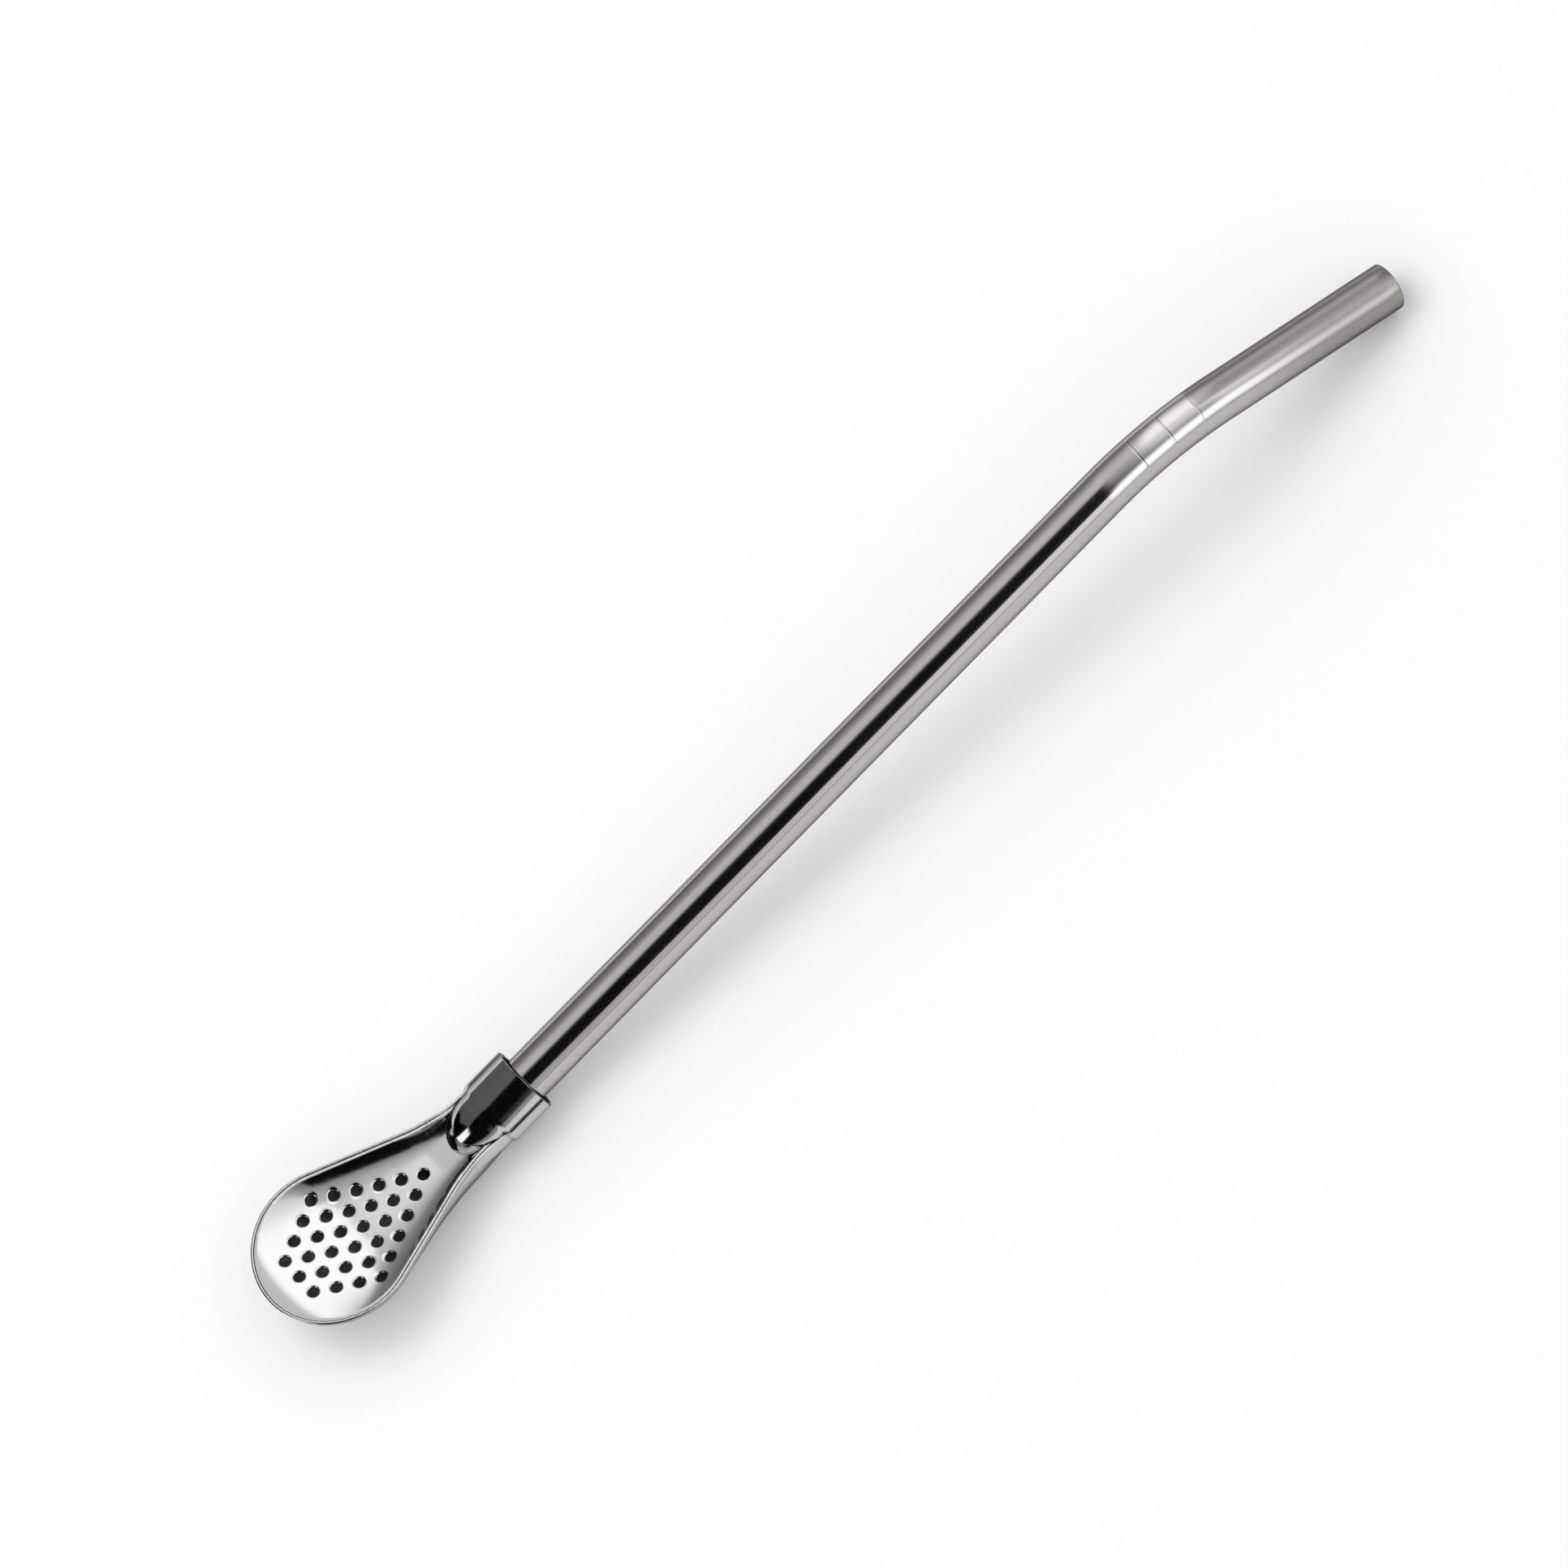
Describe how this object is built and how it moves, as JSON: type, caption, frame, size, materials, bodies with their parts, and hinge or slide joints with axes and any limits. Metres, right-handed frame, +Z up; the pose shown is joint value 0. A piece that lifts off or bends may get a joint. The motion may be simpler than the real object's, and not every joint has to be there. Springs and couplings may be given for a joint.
{
  "type": "spoon straw",
  "caption": "Bent steel drinking tube that plugs into a closed spoon-shaped strainer with a perforated face.",
  "frame": {"origin": "bottom centre of the bounding box, with the straw lying on its back", "axes": "+X along the straw towards its mouth end, +Y across it, +Z up, out of the perforated face"},
  "size_m": [0.1798, 0.02, 0.0178],
  "materials": {
    "tube_steel": "polished stainless steel with a faint lengthwise grain",
    "spoon_steel": "bright polished stainless steel",
    "seal_silicone": "translucent white silicone"
  },
  "bodies": {
    "tube": {"straw_tube": "tube_steel"},
    "seal": {"seal_ring": "seal_silicone"},
    "head": {"filter_face": "spoon_steel", "bowl_back": "spoon_steel"}
  },
  "joints": [
    {"name": "head_pull", "type": "slide", "parent": "tube", "child": "seal", "axis": [-0.9952, 0, -0.0983], "range_m": [0, 0.02]},
    {"name": "head_turn", "type": "hinge", "parent": "seal", "child": "head", "pos_m": [-0.0499, 0, 0.00504], "axis": [0.9952, 0, 0.0983], "continuous": true}
  ]
}
